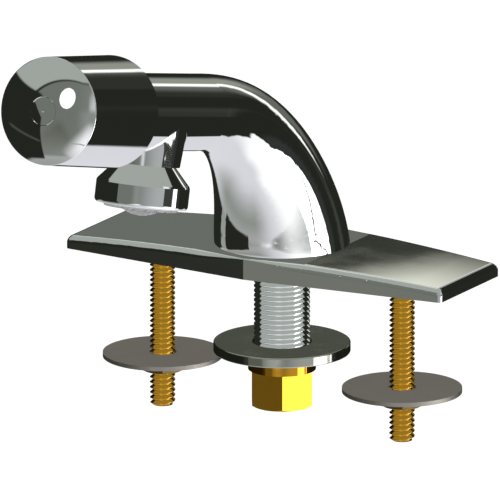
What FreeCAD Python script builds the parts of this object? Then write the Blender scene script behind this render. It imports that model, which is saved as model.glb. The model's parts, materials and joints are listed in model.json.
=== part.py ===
import FreeCAD, Part
import math
import os
import re

import Sketcher

# A self-closing basin tap on a four inch centre plate. Its outlet is a swept brass casting, and the
# valve lies in the casting's barrel, behind a push cap.
# Lengths are in millimetres and angles in degrees. The origin is on the shank's axis at the deck,
# +X runs along the plate, -Y is the front and +Z is up.
SIZES = {
    # Deck plate, seen from above as a long hexagon with two sloping wings
    "plate_length": 158.75,
    "plate_end_width": 44.6,
    "plate_mid_width": 58.3,
    "plate_height": 8.0,
    "plate_end_height": 4.9,
    "plate_flat_length": 47.0,
    "wing_crown": 0.4,
    "plate_edge_round": 2.7,
    "plate_middle_round": 0.5,
    "plate_corner_round": 1.6,
    "plate_wall": 2.2,
    "plate_rim_wall": 3.0,
    "plate_shank_hole": 22.0,
    "plate_boss_wall": 3.5,
    # Spout casting: a bend of falling section, then a straight barrel that rises to the front
    "base_diameter": 50.2,
    "low_diameter": 46.8,
    "mid_diameter": 38.4,
    "high_diameter": 31.6,
    "tube_diameter": 28.5,
    "bend_radius": 75.25,
    "bend_start": -2.93,
    "barrel_tilt": 13.07,
    "bend_runout": 8.0,
    "barrel_length": 96.0,
    "spout_wall": 3.2,
    "waterway_end": 14.0,
    "shank_socket_depth": 18.0,
    "base_groove_diameter": 47.0,
    "base_groove_width": 3.0,
    "base_groove_depth": 1.0,
    "chamber_start": 20.0,
    "chamber_diameter": 21.0,
    # Outlet neck on the underside of the barrel
    "outlet_station": 40.2,
    "neck_inset": 0.05,
    "neck_taper": 1.5,
    "neck_drop": 19.1,
    "neck_fillet": 1.2,
    "neck_bore": 19.2,
    "neck_bore_start": 12.0,
    "outlet_port": 13.0,
    # Outlet shell and what it holds
    "shell_neck_diameter": 22.0,
    "shell_diameter": 34.4,
    "shell_cone_drop": 6.6,
    "shell_bead_height": 0.7,
    "shell_bead_depth": 0.35,
    "shell_length": 15.4,
    "shell_bottom_round": 1.5,
    "shell_bore": 27.4,
    "shell_inlet_bore": 13.0,
    "shell_spigot_length": 5.6,
    "shell_chamber_start": 7.4,
    "regulator_diameter": 20.0,
    "regulator_thickness": 2.2,
    "regulator_hole": 5.0,
    "screen_thickness": 0.8,
    "insert_wall": 1.6,
    "insert_web": 2.6,
    "insert_standout": 1.1,
    "insert_edge_round": 0.6,
    "nozzle_diameter": 13.0,
    "nozzle_standout": 2.5,
    "nozzle_dome": 1.9,
    "insert_notch_count": 20,
    "insert_notch_width": 1.2,
    "insert_notch_depth": 0.5,
    "spray_slot_count": 16,
    "spray_slot_width": 1.1,
    "spray_slot_length": 2.8,
    "spray_circle": 18.0,
    "spray_groove_depth": 1.7,
    "nozzle_hole": 1.3,
    "nozzle_hole_circle": 7.0,
    # Push cap on the front of the barrel
    "cap_overlap": 24.2,
    "cap_length": 45.5,
    "cap_front_diameter": 39.55,
    "cap_rear_diameter": 41.3,
    "cap_dome_height": 4.4,
    "cap_front_round": 0.5,
    "cap_rear_round": 0.5,
    "cap_bore": 36.0,
    "cap_front_wall": 4.5,
    "plug_recess_diameter": 10.6,
    "plug_recess_depth": 5.9,
    "plug_diameter": 10.2,
    "plug_thickness": 2.4,
    "plug_sink": 0.25,
    # Bonnet that closes the barrel and guides the cap
    "bonnet_skirt": 17.0,
    "bonnet_front_wall": 5.0,
    "bonnet_edge": 0.8,
    # Cartridge, its seals and the seat
    "cartridge_setback": 7.8,
    "cartridge_diameter": 20.8,
    "cartridge_bore": 15.2,
    "cartridge_rear_wall": 4.5,
    "cartridge_flange_diameter": 25.0,
    "cartridge_flange_length": 3.0,
    "seal_section": 1.6,
    "seal_groove_width": 1.9,
    "rear_seal_height": 2.3,
    "front_seal_setback": 10.0,
    "seat_hole": 8.0,
    "seat_diameter": 13.8,
    "seat_flange_diameter": 17.0,
    "seat_flange_length": 1.6,
    "seat_lip_diameter": 10.6,
    "seat_lip_height": 0.8,
    # Stem and the pieces that it carries
    "stem_rear_diameter": 6.0,
    "stem_front_diameter": 7.0,
    "piston_setback": 18.0,
    "piston_length": 6.0,
    "piston_cup_length": 2.4,
    "follower_length": 0.8,
    "seat_washer_diameter": 12.4,
    "seat_washer_length": 3.0,
    "seat_screw_diameter": 2.6,
    "seat_screw_depth": 9.0,
    "seat_screw_head_diameter": 7.0,
    "seat_screw_head_length": 1.8,
    "cap_screw_diameter": 3.6,
    "cap_screw_depth": 10.0,
    "cap_screw_head_diameter": 7.2,
    "cap_screw_head_length": 2.6,
    "screw_socket_flats": 2.5,
    "screw_socket_depth": 1.3,
    # Return spring
    "spring_wire": 1.2,
    "spring_diameter": 12.6,
    "spring_turns": 5.5,
    # Shank, its washer and its coupling nut
    "shank_diameter": 20.9,
    "shank_top": 24.0,
    "shank_bottom": 40.5,
    "shank_bore": 14.0,
    "shank_chamfer": 1.0,
    "shank_washer_diameter": 50.8,
    "shank_washer_hole": 22.2,
    "shank_washer_top": 30.2,
    "shank_washer_thickness": 3.7,
    "shank_washer_round": 0.4,
    "coupling_collar_diameter": 25.2,
    "coupling_collar_length": 6.7,
    "coupling_flats": 22.2,
    "coupling_hex_length": 13.8,
    "coupling_inlet_bore": 16.6,
    "coupling_inlet_depth": 10.4,
    "coupling_inlet_lead": 0.6,
    "coupling_web_bore": 12.0,
    "inlet_washer_thickness": 1.0,
    "screen_diameter": 16.6,
    "screen_length": 1.2,
    "screen_hole": 2.2,
    "screen_hole_circle": 10.0,
    # Two studs on four inch centres, each with a washer and a jam nut
    "stud_centres": 101.6,
    "stud_diameter": 9.45,
    "stud_socket_top": 4.6,
    "stud_boss_diameter": 15.0,
    "stud_bottom": 61.2,
    "stud_chamfer": 0.9,
    "stud_washer_diameter": 44.45,
    "stud_washer_hole": 10.3,
    "stud_washer_top": 41.05,
    "stud_washer_thickness": 1.6,
    "stud_nut_flats": 14.29,
    "stud_nut_height": 5.25,
    # Clearances
    "thread_clearance": 0.05,
    "running_clearance": 0.08,
    "guide_clearance": 0.2,
    "seat_clearance": 0.02,
}

# The bend ends where its tangent has the barrel's slope.
BARREL_Y = "-bend_radius * (1 - sin(barrel_tilt))"
BARREL_Z = "(bend_start + bend_radius * cos(barrel_tilt))"
# The cartridge stands behind the outlet, and the piston and the cap go with the barrel's front end.
CARTRIDGE = "(outlet_station + cartridge_setback)"
PISTON = "(barrel_length - piston_setback)"
CAP = "(barrel_length - cap_overlap)"
# The stem starts at the seat's lip and ends at the cap's inner face.
STEM_START = "(waterway_end - seat_lip_height - seat_clearance)"
CAP_INNER = f"({CAP} + cap_length - cap_front_wall)"
X_AXIS = FreeCAD.Vector(1, 0, 0)
PARTS_FOLDER = "parts"

doc = FreeCAD.newDocument("metering_basin_faucet")
sheet = doc.addObject("Spreadsheet::Sheet", "Sizes")
for row, (alias, number) in enumerate(SIZES.items(), start=1):
    sheet.set(f"A{row}", alias)
    sheet.set(f"B{row}", str(number))
    sheet.setAlias(f"B{row}", alias)
doc.recompute()
pieces = []


def bound(text):
    """Put the sheet's name before each size in an expression."""
    return re.sub("[a-z_]+", lambda word: f"Sizes.{word[0]}" if word[0] in SIZES else word[0], text)


def value(text):
    """The number that an expression gives now."""
    return float(sheet.evalExpression(bound(text)))


def bind(item, **sizes):
    """Bind properties of one object to expressions."""
    for name, text in sizes.items():
        item.setExpression(name, bound(text))


def place(item, x="0", y="0", z="0", turn="0"):
    """Place an object by expressions, turned about X."""
    item.Placement = FreeCAD.Placement(FreeCAD.Vector(), FreeCAD.Rotation(X_AXIS, value(turn)))
    for path, text in (("Base.x", x), ("Base.y", y), ("Base.z", z), ("Rotation.Angle", turn)):
        if text != "0":
            item.setExpression(f"Placement.{path}", bound(text))
    return item


def keep(item, label):
    """Name a finished sub-part and count it among the pieces."""
    item.Label = label
    pieces.append(item)
    return item


def on_barrel(item, station, turn="90 - barrel_tilt"):
    """Stand an object on the barrel's axis, its own +Z to the front, so far from the bend's end."""
    y = f"{BARREL_Y} - ({station}) * cos(barrel_tilt)"
    z = f"{BARREL_Z} + ({station}) * sin(barrel_tilt)"
    return place(item, y=y, z=z, turn=turn)


def on_outlet(item, drop):
    """Stand an object on the outlet's axis, its own +Z down, so far below the barrel's axis."""
    y = f"{BARREL_Y} - outlet_station * cos(barrel_tilt) - ({drop}) * sin(barrel_tilt)"
    z = f"{BARREL_Z} + outlet_station * sin(barrel_tilt) - ({drop}) * cos(barrel_tilt)"
    return place(item, y=y, z=z, turn="180 - barrel_tilt")


def draw(sketch, points, arcs=None):
    """Close an outline through points given as pairs of expressions, anticlockwise.

    arcs gives the radius of each side that bulges, by the number of its first point.
    """
    arcs = arcs or {}
    corners = [FreeCAD.Vector(value(across), value(along), 0) for across, along in points]
    for i, start in enumerate(corners):
        end = corners[(i + 1) % len(corners)]
        if i in arcs:
            sketch.addGeometry(bulge(start, end, value(arcs[i])))
        else:
            sketch.addGeometry(Part.LineSegment(start, end))
    for i, (across, along) in enumerate(points):
        sketch.addConstraint(Sketcher.Constraint("Coincident", i, 2, (i + 1) % len(points), 1))
        pin(sketch, i, "DistanceX", across, corners[i].x, -2)
        pin(sketch, i, "DistanceY", along, corners[i].y, -1)
        if i in arcs:
            number = sketch.addConstraint(Sketcher.Constraint("Radius", i, value(arcs[i])))
            sketch.setExpression(f"Constraints[{number}]", bound(arcs[i]))


def pin(sketch, line, kind, text, number, axis):
    """Hold one coordinate of a line's first point: on the axis, or at a bound distance from it."""
    if text == "0":
        sketch.addConstraint(Sketcher.Constraint("PointOnObject", line, 1, axis))
        return
    constraint = sketch.addConstraint(Sketcher.Constraint(kind, -1, 1, line, 1, number))
    sketch.setExpression(f"Constraints[{constraint}]", bound(text))


def bulge(start, end, radius):
    """The short anticlockwise arc from start to end."""
    chord = end - start
    left = FreeCAD.Vector(-chord.y, chord.x, 0).normalize()
    reach = math.sqrt(radius**2 - (chord.Length / 2) ** 2)
    middle = (start + end) / 2
    return Part.Arc(start, middle - left * (radius - reach), end)


def sketch_in(body, name, role):
    """An empty sketch on one of the body's own origin planes."""
    sketch = body.newObject("Sketcher::SketchObject", name)
    plane = next(item for item in body.Origin.OriginFeatures if item.Role == role)
    sketch.AttachmentSupport = [(plane, "")]
    sketch.MapMode = "FlatFace"
    return sketch


def new_body(label):
    """A body for one sub-part, which is written to its own file at the end."""
    return keep(doc.addObject("PartDesign::Body", label), label)


def turn(body, name, points, arcs=None, cut=False):
    """Add or cut a form turned about the body's Z axis; a point is a radius and a height."""
    sketch = sketch_in(body, f"{name}_outline", "XZ_Plane")
    draw(sketch, points, arcs)
    feature = body.newObject("PartDesign::Groove" if cut else "PartDesign::Revolution", name)
    feature.Profile = sketch
    feature.ReferenceAxis = (sketch, ["V_Axis"])
    feature.Angle = 360
    return feature


def turned(label, points, arcs=None):
    """A body that is one turned form."""
    body = new_body(label)
    turn(body, f"{label}_form", points, arcs)
    return body


def ring(label, outer, inner, length):
    """A plain washer or sleeve, from its two diameters and its length."""
    inside = f"({inner}) / 2"
    outside = f"({outer}) / 2"
    return turned(label, [(inside, "0"), (outside, "0"), (outside, length), (inside, length)])


def hexagon(body, name, flats, length, cut=False):
    """Pad or pocket a hexagon on the body's base, with a corner on its X axis."""
    sketch = sketch_in(body, f"{name}_outline", "XY_Plane")
    corner = f"({flats}) / sqrt(3)"
    draw(sketch, [(f"{corner} * cos({60 * i})", f"{corner} * sin({60 * i})") for i in range(6)])
    feature = body.newObject("PartDesign::Pocket" if cut else "PartDesign::Pad", name)
    feature.Profile = sketch
    feature.Reversed = cut
    bind(feature, Length=length)
    return feature


def chamfer_hexagon(body, name, flats):
    """Turn the corners off the hexagon's lower end at thirty degrees."""
    edge = f"({flats}) / 2"
    beyond = f"({flats}) * 0.6"
    rise = f"({flats}) * 0.1 * tan(30)"
    turn(body, name, [(edge, "0"), (beyond, "0"), (beyond, rise)], cut=True)


def circles(shape, radius, height):
    """The names of a shape's round edges of one radius at one height."""
    found = []
    for number, edge in enumerate(shape.Edges, start=1):
        if edge.Degenerated or not isinstance(edge.Curve, Part.Circle):
            continue
        if abs(edge.Curve.Radius - radius) < 1e-4 and abs(edge.Curve.Center.z - height) < 1e-4:
            found.append(f"Edge{number}")
    return found


def round_rings(body, feature, rings, radius):
    """Round the feature's circles, given as pairs of radius and height expressions."""
    doc.recompute()
    names = [
        name
        for across, along in rings
        for name in circles(feature.Shape, value(across), value(along))
    ]
    fillet = body.newObject("PartDesign::Fillet", f"{feature.Name}_round")
    fillet.Base = (feature, names)
    bind(fillet, Radius=radius)
    return fillet


def cylinder(name, diameter, length):
    item = doc.addObject("Part::Cylinder", name)
    bind(item, Radius=f"({diameter}) / 2", Height=length)
    return item


def joined(name, pieces):
    item = doc.addObject("Part::MultiFuse", name)
    item.Shapes = pieces
    item.Refine = True
    return item


def less(name, base, tool):
    item = doc.addObject("Part::Cut", name)
    item.Base = base
    item.Tool = tool
    item.Refine = True
    return item


def plate_block(name, rim, roof, floor):
    """The plate's outer form, or its hollow: a plan and a side outline that meet in one block.

    rim is how far it stays inside the plate's outline, roof how far below its top, floor its bottom.
    """
    half_length = f"(plate_length / 2 - ({rim}))"
    half_end = f"(plate_end_width / 2 - ({rim}))"
    half_mid = f"(plate_mid_width / 2 - ({rim}))"
    plan = doc.addObject("Sketcher::SketchObject", f"{name}_plan")
    right = [(half_length, f"-{half_end}"), (half_length, half_end)]
    left = [(f"-{half_length}", half_end), (f"-{half_length}", f"-{half_end}")]
    draw(plan, [("0", f"-{half_mid}"), *right, ("0", half_mid), *left])
    place(plan, z=floor)
    plan_block = doc.addObject("Part::Extrusion", f"{name}_plan_block")
    plan_block.Base = plan
    plan_block.DirMode = "Custom"
    plan_block.Dir = FreeCAD.Vector(0, 0, 1)
    plan_block.Solid = True
    bind(plan_block, LengthFwd="2 * plate_height")

    side = doc.addObject("Sketcher::SketchObject", f"{name}_side")
    half_flat = "plate_flat_length / 2"
    top = f"plate_height - ({roof})"
    end_top = f"plate_end_height - ({roof})"
    run = f"({half_length} - {half_flat})"
    crown = f"({run}^2 + (plate_height - plate_end_height)^2) / (8 * wing_crown) + wing_crown / 2"
    outline = [
        (f"-{half_length}", floor),
        (half_length, floor),
        (half_length, end_top),
        (half_flat, top),
        (f"-{half_flat}", top),
        (f"-{half_length}", end_top),
    ]
    draw(side, outline, {2: crown, 4: crown})
    side.Placement = FreeCAD.Placement(FreeCAD.Vector(), FreeCAD.Rotation(X_AXIS, 90))
    side_block = doc.addObject("Part::Extrusion", f"{name}_side_block")
    side_block.Base = side
    side_block.DirMode = "Custom"
    side_block.Dir = FreeCAD.Vector(0, 1, 0)
    side_block.Solid = True
    side_block.Symmetric = True
    bind(side_block, LengthFwd="2 * plate_mid_width")

    block = doc.addObject("Part::MultiCommon", name)
    block.Shapes = [plan_block, side_block]
    return block


def plate_corners(shape):
    """The four upright edges at the plate's ends."""
    half_length = value("plate_length / 2")
    return [
        number
        for number, edge in enumerate(shape.Edges, start=1)
        if abs(edge.tangentAt(edge.FirstParameter).z) > 0.99
        and abs(abs(edge.CenterOfMass.x) - half_length) < 0.01
    ]


def plate_rim(shape):
    """The edges around the plate's top and their numbers, without the two creases."""
    half_length = value("plate_length / 2")
    half_end = value("plate_end_width / 2")
    middle = value("plate_end_height / 2")
    found = []
    for number, edge in enumerate(shape.Edges, start=1):
        centre = edge.CenterOfMass
        level = abs(edge.tangentAt(edge.FirstParameter).z) < 0.9
        outer = abs(centre.x) > half_length - 0.01 or abs(centre.y) > half_end
        if level and outer and centre.z > middle:
            found.append((number, edge))
    return found


def beside_flat(edge):
    """Whether a rim edge runs along the plate's flat middle."""
    return abs(edge.CenterOfMass.x) < value("plate_flat_length / 2")


def wing_rim(shape):
    """The rim edges of the two wings."""
    return [number for number, edge in plate_rim(shape) if not beside_flat(edge)]


def middle_rim(shape):
    """The rim edges of the flat, each with a round that grows from the middle to the crease."""
    small, large = value("plate_middle_round"), value("plate_edge_round")
    found = []
    for number, edge in plate_rim(shape):
        if beside_flat(edge):
            first, last = (abs(edge.valueAt(at).x) for at in edge.ParameterRange)
            found.append((number, small, large) if first < last else (number, large, small))
    return found


def rounded(name, base, edge_sets, growing=()):
    """Round sets of a Part object's edges, each set with its own radius.

    growing lists edges whose radius changes along them: a number and the radii at its two ends.
    """
    item = doc.addObject("Part::Fillet", name)
    item.Base = base
    item.Edges = [
        (number, value(radius), value(radius)) for radius, numbers in edge_sets for number in numbers
    ] + list(growing)
    return item


def deck_plate():
    """The cast plate: a thin hollow cover with a boss around the shank and one for each stud."""
    block = plate_block("plate_block", "0", "0", "0")
    doc.recompute()
    edge_sets = [
        ("plate_corner_round", plate_corners(block.Shape)),
        ("plate_edge_round", wing_rim(block.Shape)),
    ]
    skin = rounded("plate_skin", block, edge_sets, middle_rim(block.Shape))
    boss_diameter = "plate_shank_hole + 2 * plate_boss_wall"
    bosses = [place(cylinder("shank_boss", boss_diameter, "2 * plate_height"), z="-1")]
    holes = [place(cylinder("shank_hole", "plate_shank_hole", "2 * plate_height"), z="-1")]
    for side, sign in (("left", "-"), ("right", "")):
        at = f"{sign}stud_centres / 2"
        stud_boss = cylinder(f"stud_boss_{side}", "stud_boss_diameter", "2 * plate_height")
        bosses.append(place(stud_boss, x=at, z="-1"))
        bore = "stud_diameter + 2 * thread_clearance"
        hole = cylinder(f"stud_socket_{side}", bore, "stud_socket_top + 1")
        holes.append(place(hole, x=at, z="-1"))
    inside = plate_block("plate_inside", "plate_rim_wall", "plate_wall", "-1")
    hollow = less("plate_hollow", inside, joined("plate_bosses", bosses))
    cover = less("plate_cover", skin, hollow)
    return keep(less("deck_plate", cover, joined("plate_holes", holes)), "deck_plate")


def section(name, radius, share):
    """A round section across the bend, so far along its arc."""
    ring_edge = doc.addObject("Part::Circle", name)
    bind(ring_edge, Radius=radius)
    angle = f"((90 - barrel_tilt) * {share})"
    y = f"-bend_radius * (1 - cos({angle}))"
    z = f"bend_start + bend_radius * sin({angle})"
    return place(ring_edge, y=y, z=z, turn=angle)


def end_section(name, radius, station):
    ring_edge = doc.addObject("Part::Circle", name)
    bind(ring_edge, Radius=radius)
    return on_barrel(ring_edge, station)


def lofted(name, sections):
    item = doc.addObject("Part::Loft", name)
    item.Sections = sections
    item.Solid = True
    item.Ruled = False
    return item


def bend_sections(name, inset):
    """The sections that the outer skin and the waterway share, each drawn in by the wall."""
    stations = (("low", 0.25), ("mid", 0.5), ("high", 0.75), ("tube", 1.0))
    return [
        section(f"{name}_{station}", f"{station}_diameter / 2 - ({inset})", share)
        for station, share in stations
    ]


def neck_joint(shape):
    """The edges where the neck leaves the barrel: no circles or lines, and in front of the bend."""
    bend_end = value(f"{BARREL_Y} - bend_runout * cos(barrel_tilt)")
    return [
        number
        for number, edge in enumerate(shape.Edges, start=1)
        if not isinstance(edge.Curve, (Part.Circle, Part.Line)) and edge.BoundBox.YMax < bend_end
    ]


def spout_skin():
    """The bend, the barrel and the outlet neck as one solid, with a fillet above the neck."""
    base = doc.addObject("Part::Circle", "spout_base")
    bind(base, Radius="base_diameter / 2")
    place(base, z="plate_height")
    runout = end_section("spout_runout", "tube_diameter / 2", "bend_runout")
    bend = lofted("spout_bend", [base, *bend_sections("spout", "0"), runout])
    barrel = on_barrel(
        cylinder("barrel", "tube_diameter", "barrel_length - bend_runout"), "bend_runout"
    )
    neck = doc.addObject("Part::Cone", "outlet_neck")
    bind(
        neck,
        Radius1="tube_diameter / 2 - neck_inset",
        Radius2="tube_diameter / 2 - neck_inset - neck_taper",
        Height="neck_drop",
    )
    on_outlet(neck, "0")
    form = joined("spout_form", [bend, barrel, neck])
    doc.recompute()
    return rounded("spout_skin", form, [("neck_fillet", neck_joint(form.Shape))])


def spout_body():
    """The casting, cored for the water and bored for the shank, the valve and the outlet."""
    waterway_end = end_section("waterway_end", "tube_diameter / 2 - spout_wall", "waterway_end")
    waterway = lofted("waterway", [*bend_sections("waterway", "spout_wall"), waterway_end])
    socket = place(
        cylinder(
            "shank_socket",
            "shank_diameter + 2 * thread_clearance",
            "shank_socket_depth",
        ),
        z="plate_height",
    )
    groove = less(
        "base_groove",
        place(cylinder("groove_outer", "base_groove_diameter", "base_groove_depth"), z="plate_height"),
        place(
            cylinder(
                "groove_inner",
                "base_groove_diameter - 2 * base_groove_width",
                "base_groove_depth",
            ),
            z="plate_height",
        ),
    )
    seat_hole = on_barrel(
        cylinder(
            "seat_socket",
            "seat_diameter + 2 * thread_clearance",
            "chamber_start - waterway_end + 2",
        ),
        "waterway_end - 1",
    )
    chamber = on_barrel(
        cylinder("chamber", "chamber_diameter", "barrel_length - chamber_start + 1"),
        "chamber_start",
    )
    flange_seat = on_barrel(
        cylinder(
            "flange_seat",
            "cartridge_flange_diameter + 4 * thread_clearance",
            "cartridge_flange_length + 1",
        ),
        "barrel_length - cartridge_flange_length",
    )
    port = on_outlet(cylinder("outlet_port", "outlet_port", "neck_bore_start + 1"), "0")
    neck_bore = on_outlet(
        cylinder("neck_bore", "neck_bore", "neck_drop - neck_bore_start + 1"), "neck_bore_start"
    )
    cores = [waterway, socket, groove, seat_hole, chamber, flange_seat, port, neck_bore]
    return keep(less("spout_body", spout_skin(), joined("spout_cores", cores)), "spout_body")


def base_seal():
    """The flat seal in the groove under the casting."""
    outer = "base_groove_diameter - 2 * running_clearance"
    inner = "base_groove_diameter - 2 * base_groove_width + 2 * running_clearance"
    place(ring("base_seal", outer, inner, "base_groove_depth"), z="plate_height")


def outlet_shell():
    """The spray head's shell: a threaded spigot, a cone and a round skirt."""
    inlet = "shell_inlet_bore / 2"
    spigot = "neck_bore / 2 - thread_clearance"
    cone_end = "shell_spigot_length + shell_cone_drop"
    bottom = "shell_spigot_length + shell_length"
    pocket = "regulator_diameter / 2 + running_clearance"
    pocket_end = "shell_spigot_length + shell_chamber_start"
    pocket_start = f"{pocket_end} - regulator_thickness"
    shell = turned(
        "outlet_shell",
        [
            (inlet, "0"),
            (spigot, "0"),
            (spigot, "shell_spigot_length"),
            ("shell_neck_diameter / 2", "shell_spigot_length"),
            ("shell_diameter / 2 - shell_bead_depth", cone_end),
            ("shell_diameter / 2", f"{cone_end} + shell_bead_height"),
            ("shell_diameter / 2", bottom),
            ("shell_bore / 2", bottom),
            ("shell_bore / 2", pocket_end),
            (pocket, pocket_end),
            (pocket, pocket_start),
            (inlet, pocket_start),
        ],
    )
    round_rings(shell, shell.Tip, [("shell_diameter / 2", bottom)], "shell_bottom_round")
    on_outlet(shell, "neck_drop - shell_spigot_length")


def outlet_internals():
    """The gasket above the shell, and the flow regulator inside it."""
    outer = "neck_bore - 4 * running_clearance"
    gap = "neck_drop - neck_bore_start - shell_spigot_length"
    on_outlet(ring("outlet_gasket", outer, "outlet_port + 1", gap), "neck_bore_start")
    regulator = ring(
        "flow_regulator", "regulator_diameter", "regulator_hole", "regulator_thickness"
    )
    on_outlet(regulator, "neck_drop + shell_chamber_start - regulator_thickness")


def circle_pattern(body, feature, count):
    """Repeat a feature around the body's Z axis."""
    pattern = body.newObject("PartDesign::PolarPattern", f"{feature.Name}_ring")
    pattern.Originals = [feature]
    axis = next(item for item in body.Origin.OriginFeatures if item.Role == "Z_Axis")
    pattern.Axis = (axis, [""])
    pattern.Angle = 360
    bind(pattern, Occurrences=count)
    body.Tip = pattern


def holes(body, name, hole, circle, length, count):
    """Drill a ring of round holes upwards from the body's base."""
    sketch = sketch_in(body, f"{name}_outline", "XY_Plane")
    centre = FreeCAD.Vector(value(circle) / 2, 0, 0)
    sketch.addGeometry(Part.Circle(centre, FreeCAD.Vector(0, 0, 1), value(hole) / 2))
    sketch.addConstraint(Sketcher.Constraint("PointOnObject", 0, 3, -1))
    across = sketch.addConstraint(Sketcher.Constraint("DistanceX", -1, 1, 0, 3, centre.x))
    sketch.setExpression(f"Constraints[{across}]", bound(f"({circle}) / 2"))
    size = sketch.addConstraint(Sketcher.Constraint("Diameter", 0, value(hole)))
    sketch.setExpression(f"Constraints[{size}]", bound(hole))
    circle_pattern(body, pocket(body, name, sketch, length), count)


def pocket(body, name, sketch, length):
    """Cut a sketch on the body's base upwards into it."""
    feature = body.newObject("PartDesign::Pocket", name)
    feature.Profile = sketch
    feature.Reversed = True
    bind(feature, Length=length)
    return feature


def disc_screen(label, diameter, thickness, circles_and_counts):
    """A perforated disc with rings of holes."""
    screen = new_body(label)
    radius = f"({diameter}) / 2"
    turn(screen, f"{label}_disc", [("0", "0"), (radius, "0"), (radius, thickness), ("0", thickness)])
    for number, (circle, count) in enumerate(circles_and_counts, start=1):
        holes(screen, f"{label}_holes_{number}", "screen_hole", circle, thickness, count)
    return screen


def outlet_screen():
    """The perforated disc between the regulator and the insert."""
    diameter = "shell_bore - 2 * running_clearance"
    rings = [("shell_bore * 0.3", "6"), ("shell_bore * 0.6", "12")]
    screen = disc_screen("outlet_screen", diameter, "screen_thickness", rings)
    on_outlet(screen, "neck_drop + shell_chamber_start")


def outlet_insert():
    """The white insert: a cup with a rim, a groove of spray slots and a nozzle in the middle."""
    insert = new_body("outlet_insert")
    outside = "shell_bore / 2 - running_clearance"
    inside = f"{outside} - insert_wall"
    face = "(shell_length - shell_chamber_start - screen_thickness + insert_standout)"
    web = f"{face} - insert_web"
    groove = f"{face} - spray_groove_depth"
    groove_edge = "(spray_circle + spray_slot_length) / 2"
    nozzle = "nozzle_diameter / 2"
    tip = f"({face} + nozzle_standout)"
    shoulder = f"({tip} - nozzle_dome)"
    crown = f"(({nozzle})^2 + nozzle_dome^2) / (2 * nozzle_dome)"
    outline = [
        ("0", web),
        (inside, web),
        (inside, "0"),
        (outside, "0"),
        (outside, face),
        (groove_edge, face),
        (groove_edge, groove),
        (nozzle, groove),
        (nozzle, shoulder),
        ("0", tip),
    ]
    form = turn(insert, "outlet_insert_form", outline, {8: crown})
    round_rings(insert, form, [(outside, face)], "insert_edge_round")
    slot = sketch_in(insert, "spray_slot_outline", "XY_Plane")
    near = "(spray_circle - spray_slot_length) / 2"
    half = "spray_slot_width / 2"
    draw(slot, [(near, f"-{half}"), (groove_edge, f"-{half}"), (groove_edge, half), (near, half)])
    cut = pocket(insert, "spray_slot", slot, face)
    circle_pattern(insert, cut, "spray_slot_count")
    notch = sketch_in(insert, "rim_notch_outline", "XY_Plane")
    rim, beyond = f"{inside} - 1", f"{outside} + 1"
    half = "insert_notch_width / 2"
    draw(notch, [(rim, f"-{half}"), (beyond, f"-{half}"), (beyond, half), (rim, half)])
    notch.setExpression("AttachmentOffset.Base.z", bound(f"{face} - insert_notch_depth"))
    cut = pocket(insert, "rim_notch", notch, "insert_notch_depth + 1")
    circle_pattern(insert, cut, "insert_notch_count")
    holes(insert, "nozzle_holes", "nozzle_hole", "nozzle_hole_circle", tip, "8")
    on_outlet(insert, "neck_drop + shell_chamber_start + screen_thickness")


def push_cap():
    """The deep cap that is pushed: a slightly tapered cup with a domed face and a recess in it."""
    crown = "((cap_front_diameter / 2)^2 + cap_dome_height^2) / (2 * cap_dome_height)"
    recess = "plug_recess_diameter / 2"
    recess_edge = f"cap_length + cap_dome_height - {crown} + sqrt(({crown})^2 - ({recess})^2)"
    floor = "cap_length + cap_dome_height - plug_recess_depth"
    hole = "cap_screw_diameter / 2 + running_clearance"
    inner = "cap_length - cap_front_wall"
    cap = turned(
        "push_cap",
        [
            ("cap_bore / 2", "0"),
            ("cap_rear_diameter / 2", "0"),
            ("cap_front_diameter / 2", "cap_length"),
            (recess, recess_edge),
            (recess, floor),
            (hole, floor),
            (hole, inner),
            ("cap_bore / 2", inner),
        ],
        {2: crown},
    )
    front = round_rings(
        cap, cap.Tip, [("cap_front_diameter / 2", "cap_length")], "cap_front_round"
    )
    round_rings(cap, front, [("cap_rear_diameter / 2", "0")], "cap_rear_round")
    on_barrel(cap, CAP)

    edge = "plug_diameter / 2"
    shoulder = f"plug_thickness - {crown} + sqrt(({crown})^2 - ({edge})^2)"
    outline = [("0", "0"), (edge, "0"), (edge, shoulder), ("0", "plug_thickness")]
    plug = turned("cap_plug", outline, {2: crown})
    on_barrel(plug, f"{CAP} + cap_length + cap_dome_height - plug_sink - plug_thickness")


def screw(label, diameter, head_diameter, head_length, length):
    """A socket screw with its head on the body's base and its shank upwards."""
    body = new_body(label)
    head = f"{head_diameter} / 2"
    shank = f"{diameter} / 2"
    end = f"{head_length} + {length}"
    outline = [("0", "0"), (head, "0"), (head, head_length), (shank, head_length), (shank, end)]
    turn(body, f"{label}_form", [*outline, ("0", end)])
    hexagon(body, f"{label}_socket", "screw_socket_flats", "screw_socket_depth", cut=True)
    return body


def valve_seat():
    """The seat that screws into the casting's web, with a lip that the washer closes on."""
    hole = "seat_hole / 2"
    web_end = "seat_lip_height + chamber_start - waterway_end"
    flange_end = f"{web_end} + seat_flange_length"
    outline = [
        (hole, "0"),
        ("seat_lip_diameter / 2", "0"),
        ("seat_lip_diameter / 2", "seat_lip_height"),
        ("seat_diameter / 2", "seat_lip_height"),
        ("seat_diameter / 2", web_end),
        ("seat_flange_diameter / 2", web_end),
        ("seat_flange_diameter / 2", flange_end),
        (hole, flange_end),
    ]
    on_barrel(turned("valve_seat", outline), "waterway_end - seat_lip_height")


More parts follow.
